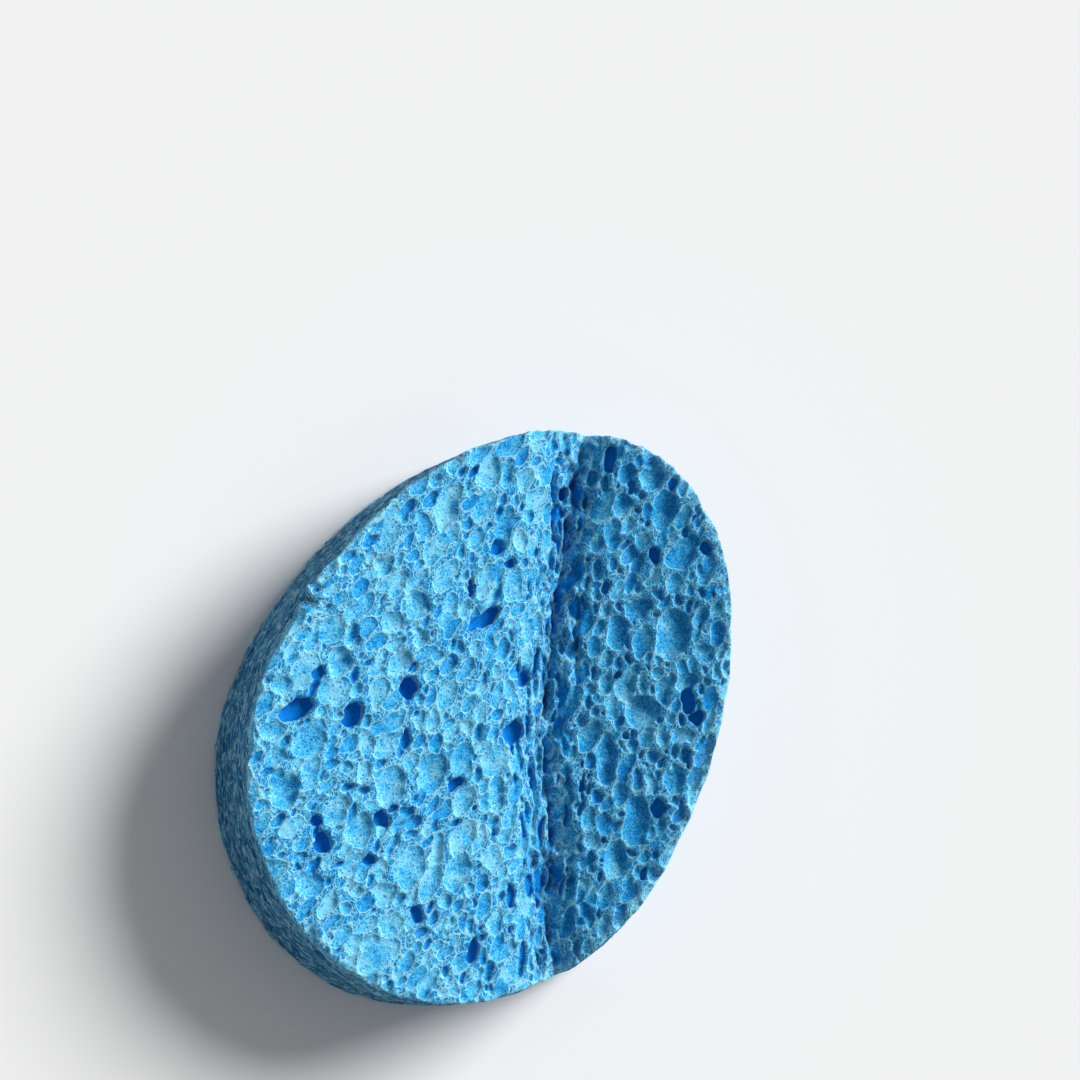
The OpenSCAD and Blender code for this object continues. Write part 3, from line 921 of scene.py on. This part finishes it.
def new_mesh_object(name, points, faces, masks, keep=()):
    """A mesh object at the origin from whole arrays of points, quads and masks.

    Keep lists the points that thinning spares.
    """
    mesh = bpy.data.meshes.new(name)
    mesh.vertices.add(len(points))
    mesh.vertices.foreach_set("co", points.astype(np.float32).ravel())
    mesh.loops.add(faces.size)
    mesh.loops.foreach_set("vertex_index", faces.astype(np.int32).ravel())
    mesh.polygons.add(len(faces))
    mesh.polygons.foreach_set("loop_start", np.arange(0, faces.size, faces.shape[1], dtype=np.int32))
    mesh.update(calc_edges=True)
    for key, values in masks.items():
        layer = mesh.attributes.new(key, "FLOAT", "POINT")
        layer.data.foreach_set("value", values.astype(np.float32))
    mesh.validate()
    obj = bpy.data.objects.new(name, mesh)
    bpy.context.scene.collection.objects.link(obj)
    if len(keep):
        group = obj.vertex_groups.new(name=KEEP)
        group.add(keep.tolist(), KEEP_WEIGHT, "REPLACE")
    return obj


def thinned(obj, triangles):
    """Collapses the flattest detail until the mesh has about this many triangles, and applies it.

    The kept points lose less of theirs than the others.
    """
    have = sum(len(poly.vertices) - 2 for poly in obj.data.polygons)
    modifier = obj.modifiers.new("thin", "DECIMATE")
    modifier.ratio = min(1.0, triangles / have)
    modifier.vertex_group = KEEP
    modifier.invert_vertex_group = True
    modifier.vertex_group_factor = KEEP_FACTOR
    depsgraph = bpy.context.evaluated_depsgraph_get()
    mesh = bpy.data.meshes.new_from_object(obj.evaluated_get(depsgraph), depsgraph=depsgraph)
    mesh.name = obj.name
    obj.modifiers.clear()
    old = obj.data
    obj.data = mesh
    bpy.data.meshes.remove(old)


# --- materials ----------------------------------------------------------------------------

# Repeats of the foam's fine patterns to the metre.
WOBBLE_SCALE = 900
BUBBLE_SCALE = 950
FINE_SCALE = 1900
SPECK_SCALE = 2100
DOT_SCALE = 1300
PATCH_SCALE = 300
FLECK_SCALE = 3300
STREAK_SCALE = (330, 330, 1900)
STRAND_SCALE = (290, 290, 1350)

# The bubbles' shape against a round one, and the lean of the foam's grain.
BUBBLE_SHAPE = (0.85, 1.45, 1.0)
BUBBLE_LEAN = math.radians(-22)

# How far the bump's full height stands out.
BUMP_HEIGHT = 0.3 * MM


class Nodes:
    """Short calls for building a node tree. Their arguments are sockets or values."""

    def __init__(self, tree):
        self.tree = tree

    def add(self, kind, **values):
        """A node with its attributes set."""
        node = self.tree.nodes.new(kind)
        for key, value in values.items():
            setattr(node, key, value)
        return node

    def link(self, source, target):
        """Joins an output socket to an input socket."""
        self.tree.links.new(source, target)

    def feed(self, socket, value):
        """Links a socket to another or sets its value, with an alpha of 1 for a colour."""
        if isinstance(value, bpy.types.NodeSocket):
            self.link(value, socket)
        elif isinstance(value, tuple) and len(value) == 3 and socket.type == "RGBA":
            socket.default_value = (*value, 1.0)
        else:
            socket.default_value = value

    def attribute(self, name):
        """What the mesh's points carry under this name."""
        return self.add("ShaderNodeAttribute", attribute_name=name).outputs["Fac"]

    def mix(self, factor, a, b):
        """A colour that goes from a to b as the factor goes from 0 to 1."""
        node = self.add("ShaderNodeMix", data_type="RGBA", clamp_factor=True)
        for socket, value in ((node.inputs[0], factor), (node.inputs[6], a), (node.inputs[7], b)):
            self.feed(socket, value)
        return node.outputs[2]

    def blend(self, factor, a, b):
        """A value that goes from a to b as the factor goes from 0 to 1."""
        node = self.add("ShaderNodeMix", data_type="FLOAT", clamp_factor=True)
        for socket, value in ((node.inputs[0], factor), (node.inputs[2], a), (node.inputs[3], b)):
            self.feed(socket, value)
        return node.outputs[0]

    def maths(self, operation, a, b=0.0, clamp=False):
        """One step of arithmetic."""
        node = self.add("ShaderNodeMath", operation=operation, use_clamp=clamp)
        self.feed(node.inputs[0], a)
        self.feed(node.inputs[1], b)
        return node.outputs[0]

    def plus(self, a, b, clamp=False):
        """The sum."""
        return self.maths("ADD", a, b, clamp)

    def minus(self, a, b, clamp=False):
        """The first less the second."""
        return self.maths("SUBTRACT", a, b, clamp)

    def times(self, a, b, clamp=False):
        """The product."""
        return self.maths("MULTIPLY", a, b, clamp)

    def most(self, a, b):
        """The larger of two."""
        return self.maths("MAXIMUM", a, b)

    def ramp(self, value, start, end):
        """0 before the start and 1 past the end, with an eased step between. It may run downwards."""
        node = self.add("ShaderNodeMapRange", interpolation_type="SMOOTHSTEP")
        self.feed(node.inputs["Value"], value)
        node.inputs["From Min"].default_value = start
        node.inputs["From Max"].default_value = end
        return node.outputs["Result"]

    def scaled(self, vector, scale):
        """The vector times a scale for each axis."""
        node = self.add("ShaderNodeMapping", vector_type="POINT")
        node.inputs["Scale"].default_value = scale
        self.link(vector, node.inputs["Vector"])
        return node.outputs["Vector"]

    def drawn_out(self, vector, lean, shape):
        """The vector in a frame that leans about the upright and has this shape, for a long pattern."""
        node = self.add("ShaderNodeMapping", vector_type="TEXTURE")
        node.inputs["Rotation"].default_value = (0, 0, lean)
        node.inputs["Scale"].default_value = shape
        self.link(vector, node.inputs["Vector"])
        return node.outputs["Vector"]

    def bent(self, vector, noise, reach):
        """The vector moved along each axis by the noise's colour times the reach."""
        node = self.add("ShaderNodeVectorMath", operation="MULTIPLY_ADD")
        self.link(noise.outputs["Color"], node.inputs[0])
        node.inputs[1].default_value = (reach, reach, reach)
        self.link(vector, node.inputs[2])
        return node.outputs["Vector"]

    def noise(self, vector, scale, detail, roughness=0.5):
        """Smooth noise, as a node with a value (Fac) and a colour."""
        node = self.add("ShaderNodeTexNoise")
        self.link(vector, node.inputs["Vector"])
        node.inputs["Scale"].default_value = scale
        node.inputs["Detail"].default_value = detail
        node.inputs["Roughness"].default_value = roughness
        return node

    def net(self, vector, scale):
        """How far a place is from the walls of a net of cells."""
        node = self.add("ShaderNodeTexVoronoi", feature="DISTANCE_TO_EDGE")
        self.link(vector, node.inputs["Vector"])
        node.inputs["Scale"].default_value = scale
        return node.outputs["Distance"]

    def cells(self, vector, scale):
        """How far a place is from its cell's middle, and three random values of that cell."""
        node = self.add("ShaderNodeTexVoronoi", feature="F1")
        self.link(vector, node.inputs["Vector"])
        node.inputs["Scale"].default_value = scale
        split = self.add("ShaderNodeSeparateColor")
        self.link(node.outputs["Color"], split.inputs[0])
        return node.outputs["Distance"], split.outputs


def bubble_net(n, place, wobble):
    """The fine bubbles between the pores: a mask of their walls and a random tint for each.

    They are a net of cells, longer than wide and bent by the wobble, with a fainter net of
    half the size over it.
    """
    bent = n.bent(n.drawn_out(place, BUBBLE_LEAN, BUBBLE_SHAPE), wobble, 0.7 * MM)
    walls = n.ramp(n.net(bent, BUBBLE_SCALE), 0.13, 0.05)
    fine_walls = n.ramp(n.net(bent, FINE_SCALE), 0.16, 0.05)
    tint = n.cells(bent, BUBBLE_SCALE)[1][0]
    return n.most(walls, n.times(fine_walls, 0.45)), tint


def wall_grain(n, place, wobble):
    """The grain of the wall, which runs around it: masks of its slits and of its pale fibres.

    The slits are some cells of a flattened net, and the troughs of a flattened noise. The
    fibres are the walls of that net, and the noise's other side.
    """
    streaks = n.noise(n.scaled(place, STREAK_SCALE), 1.0, 3).outputs["Fac"]
    strands = n.bent(n.scaled(place, STRAND_SCALE), wobble, 0.5)
    from_wall = n.net(strands, 1.0)
    kind = n.cells(strands, 1.0)[1][0]
    opened = n.times(n.ramp(kind, 0.4, 0.6), n.ramp(from_wall, 0.05, 0.16))
    slits = n.most(n.times(n.ramp(streaks, 0.5, 0.56), 0.8), opened)
    fibres = n.most(n.ramp(streaks, 0.42, 0.34), n.times(n.ramp(from_wall, 0.1, 0.03), 0.7))
    return slits, fibres


def floor_blueness(n, place, tone, shade, speck):
    """How blue a pore's floor is: its tone, which carries painted shade for deep pores, with soft patches,
    specks and painted shade.
    """
    patch = n.ramp(n.noise(place, PATCH_SCALE, 3).outputs["Fac"], 0.3, 0.7)
    blue = n.plus(n.times(tone, 0.85), n.times(n.minus(patch, 0.44), 0.55))
    blue = n.plus(blue, n.times(n.minus(speck, 0.25), 0.5))
    return n.plus(blue, n.times(shade, 0.6), clamp=True)


def bubble_blueness(n, walls, tint, shade, speck):
    """How blue the foam between the pores is: each bubble's tint, less its walls, with specks and shade."""
    blue = n.minus(n.plus(n.times(tint, 0.65), 0.77), walls)
    blue = n.plus(blue, n.times(n.minus(speck, 0.5), 0.4))
    return n.plus(blue, n.times(shade, 0.22), clamp=True)


def foam_material(finish):
    """Open cellulose foam, coloured by how far each place is from the nearest pore's edge in mm.

    Pore floors go from pale over middle to blue, with painted shade in the deeper ones, and so
    do the fine bubbles between the pores. Pale rims follow the edges. The wall has its own colour
    with slits and fibres, greyed as painted light for warm light bounced onto it, and some fibres
    run in a band inside the rim. Painted shade, pale flecks, dark dots and the painted shade at
    the bottoms of the deep holes lie over it all. The bump follows the same masks.
    """
    colours = {key: tuple(getattr(finish, key)) for key in finish.__annotations__}
    material = bpy.data.materials.new("cellulose_foam")
    material.use_nodes = True
    tree = material.node_tree
    tree.nodes.clear()
    n = Nodes(tree)
    place = n.add("ShaderNodeTexCoord").outputs["Object"]
    edge, deep, tone = n.attribute("edge"), n.attribute("deep"), n.attribute("tone")
    shade, wall, band = n.attribute("shade"), n.attribute("wall"), n.attribute("band")
    wobble = n.noise(place, WOBBLE_SCALE, 2)
    grit = n.noise(place, SPECK_SCALE, 3, 0.7).outputs["Fac"]
    speck = n.ramp(grit, 0.42, 0.57)
    walls, tint = bubble_net(n, place, wobble)
    slits, fibres = wall_grain(n, place, wobble)

    ragged = n.plus(edge, n.times(n.minus(grit, 0.5), 0.3))
    rims = n.ramp(n.maths("ABSOLUTE", ragged), 0.14, 0.05)
    outside = n.ramp(ragged, 0.02, 0.1)
    inside = n.ramp(ragged, -0.05, -0.14)
    blueness = n.blend(outside, floor_blueness(n, place, tone, shade, speck),
                       bubble_blueness(n, walls, tint, shade, speck))
    base = n.mix(n.times(blueness, 2.0, clamp=True), colours["pale"], colours["middle"])
    base = n.mix(n.minus(n.times(blueness, 2.0), 1.0, clamp=True), base, colours["blue"])
    base = n.mix(n.times(rims, n.minus(0.85, n.times(shade, 0.35))), base, colours["rim"])
    # The wall's colour: its own slits and fibres over a base greyed as painted bounce light.
    skin = n.mix(slits, n.mix(fibres, colours["skin"], colours["fibre"]), colours["slit"])
    base = n.mix(n.times(wall, 0.92), base, skin)
    rim_fibres = n.plus(n.times(fibres, 0.5), n.times(n.minus(1.0, speck), 0.5))
    base = n.mix(n.times(band, rim_fibres, clamp=True), base, colours["rim"])
    base = n.mix(n.times(shade, 0.2), base, colours["shadow"])
    flecks = n.ramp(n.noise(place, FLECK_SCALE, 2).outputs["Fac"], 0.53, 0.62)
    base = n.mix(n.times(flecks, n.minus(0.28, n.times(wall, 0.28))), base, colours["rim"])
    from_dot, dot_kind = n.cells(place, DOT_SCALE)
    dots = n.times(n.ramp(from_dot, 0.3, 0.2), n.ramp(dot_kind[1], 0.4, 0.5))
    # Painted shade at the bottoms of the deep holes, with the foam's own fine dark dots, in the deep colour.
    holes = n.times(n.ramp(deep, 0.4, 0.8), inside)
    dark = n.most(n.times(holes, 0.9), n.times(dots, 0.85))
    base = n.mix(dark, base, colours["deep"])

    height = n.times(n.minus(walls, 1.0), n.times(outside, 1.1))
    height = n.plus(height, n.times(grit, 0.9))
    height = n.plus(height, n.times(rims, 0.5))
    height = n.minus(height, n.times(dark, 0.8))
    height = n.minus(height, n.times(n.times(slits, wall), 1.5))
    bump = n.add("ShaderNodeBump")
    bump.inputs["Strength"].default_value = 0.7
    bump.inputs["Distance"].default_value = BUMP_HEIGHT
    n.link(height, bump.inputs["Height"])

    shader = n.add("ShaderNodeBsdfPrincipled")
    shader.inputs["Roughness"].default_value = 0.9
    shader.inputs["Specular IOR Level"].default_value = 0.08
    n.link(base, shader.inputs["Base Color"])
    n.link(bump.outputs["Normal"], shader.inputs["Normal"])
    out = n.add("ShaderNodeOutputMaterial")
    n.link(shader.outputs["BSDF"], out.inputs["Surface"])
    return material


def floor_material(studio):
    """Plain pale floor: seen straight on it is as bright as written, and it keeps its shadow."""
    material = bpy.data.materials.new("studio_floor")
    material.use_nodes = True
    tree = material.node_tree
    shader = tree.nodes["Principled BSDF"]
    shader.inputs["Base Color"].default_value = (*studio.floor_colour, 1.0)
    shader.inputs["Roughness"].default_value = 0.9
    shader.inputs["Specular IOR Level"].default_value = 0.1
    return material


# --- operators ----------------------------------------------------------------------------

# Half the width of the floor and the lamp's place in metres, and the camera's film in millimetres.
FLOOR_HALF = 3.0
KEY_PLACE = (0.6, 0.45, 0.5)
FILM_WIDTH = 36.0


class SPONGE_OT_add_sponge(Operator):
    """Build the folded sponge as one closed mesh and give it its foam"""

    bl_idname = "sponge.add_sponge"
    bl_label = "Add sponge"

    def execute(self, context):
        scene = context.scene
        s = in_mm(scene.sponge_shape)
        p = in_mm(scene.sponge_pores)
        points, faces, masks = sponge_mesh(s, p)
        obj = new_mesh_object("foam_sponge", points, faces, masks, np.arange(p["grid"] ** 2))
        thinned(obj, p["triangles"])
        obj.data.shade_smooth()
        obj.data.materials.append(foam_material(scene.sponge_finish))
        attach(obj, BODY)
        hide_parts(NODE)
        return {"FINISHED"}


class SPONGE_OT_add_studio(Operator):
    """Build the pale floor, the soft lamps and the camera"""

    bl_idname = "sponge.add_studio"
    bl_label = "Add studio"

    def execute(self, context):
        scene = context.scene
        studio = scene.sponge_studio
        self.add_floor(studio)
        self.add_light(scene, studio)
        self.add_camera(scene, studio)
        scene.view_settings.view_transform = "Standard"
        return {"FINISHED"}

    def add_floor(self, studio):
        """A floor plate far wider than the view, under the sponge."""
        half = FLOOR_HALF
        points = np.array([(-half, -half, 0), (half, -half, 0), (half, half, 0), (-half, half, 0)])
        floor = new_mesh_object("studio_floor", points, np.array([[0, 1, 2, 3]]), {})
        floor.data.materials.append(floor_material(studio))

    def add_light(self, scene, studio):
        """One large soft lamp from the upper right, and even light all around."""
        lamp = bpy.data.lights.new("key", "SUN")
        lamp.angle = studio.key_spread
        lamp.energy = studio.key_level * math.pi
        key = bpy.data.objects.new("key", lamp)
        key.location = KEY_PLACE
        key.rotation_euler = (Vector((0, 0, 0)) - key.location).to_track_quat("-Z", "Y").to_euler()
        scene.collection.objects.link(key)
        world = bpy.data.worlds.new("studio")
        world.use_nodes = True
        world.node_tree.nodes["Background"].inputs["Color"].default_value = (1, 1, 1, 1)
        world.node_tree.nodes["Background"].inputs["Strength"].default_value = studio.fill_level
        scene.world = world

    def add_camera(self, scene, studio):
        """A camera that looks down on the large wing, tilted and rolled, aimed at the view's middle."""
        tilt, turn, roll = studio.view_tilt, studio.view_turn, studio.view_roll
        back = Vector((-math.sin(tilt) * math.cos(turn), -math.sin(tilt) * math.sin(turn), math.cos(tilt)))
        up = Vector((math.sin(roll), math.cos(roll), 0))
        right = up.cross(back).normalized()
        up = back.cross(right).normalized()
        shape = scene.sponge_shape
        crease_middle = Vector((shape.crease_offset, shape.middle_drop, shape.thickness))
        aim = crease_middle - right * studio.aim_left + up * studio.aim_up
        data = bpy.data.cameras.new("camera")
        data.sensor_width = FILM_WIDTH
        data.lens = FILM_WIDTH * studio.camera_distance / studio.view_width
        camera = bpy.data.objects.new("camera", data)
        camera.matrix_world = Matrix((
            (right.x, up.x, back.x, aim.x + back.x * studio.camera_distance),
            (right.y, up.y, back.y, aim.y + back.y * studio.camera_distance),
            (right.z, up.z, back.z, aim.z + back.z * studio.camera_distance),
            (0, 0, 0, 1),
        ))
        scene.collection.objects.link(camera)
        scene.camera = camera


class SPONGE_PT_panel(Panel):
    """The sponge's sizes, colours and buttons"""

    bl_label = "Bath Sponge"
    bl_idname = "SPONGE_PT_panel"
    bl_space_type = "VIEW_3D"
    bl_region_type = "UI"
    bl_category = "Sponge"

    def draw(self, context):
        layout = self.layout
        for key, group in GROUPS.items():
            box = layout.box()
            settings = getattr(context.scene, key)
            for name in group.__annotations__:
                box.prop(settings, name)
        for operator in OPERATORS:
            layout.operator(operator.bl_idname)


GROUPS = {"sponge_shape": SpongeShape, "sponge_pores": SpongePores,
          "sponge_finish": SpongeFinish, "sponge_studio": StudioSettings}
OPERATORS = (SPONGE_OT_add_sponge, SPONGE_OT_add_studio)


def register():
    """Registers the settings, the operators and the panel."""
    for cls in (*GROUPS.values(), *OPERATORS, SPONGE_PT_panel):
        bpy.utils.register_class(cls)
    for key, group in GROUPS.items():
        setattr(bpy.types.Scene, key, PointerProperty(type=group))


def unregister():
    """Takes them away again."""
    for key in GROUPS:
        delattr(bpy.types.Scene, key)
    for cls in (SPONGE_PT_panel, *OPERATORS, *GROUPS.values()):
        bpy.utils.unregister_class(cls)


def main():
    register()
    bpy.ops.sponge.add_studio()
    bpy.ops.sponge.add_sponge()


if __name__ == "__main__":
    main()
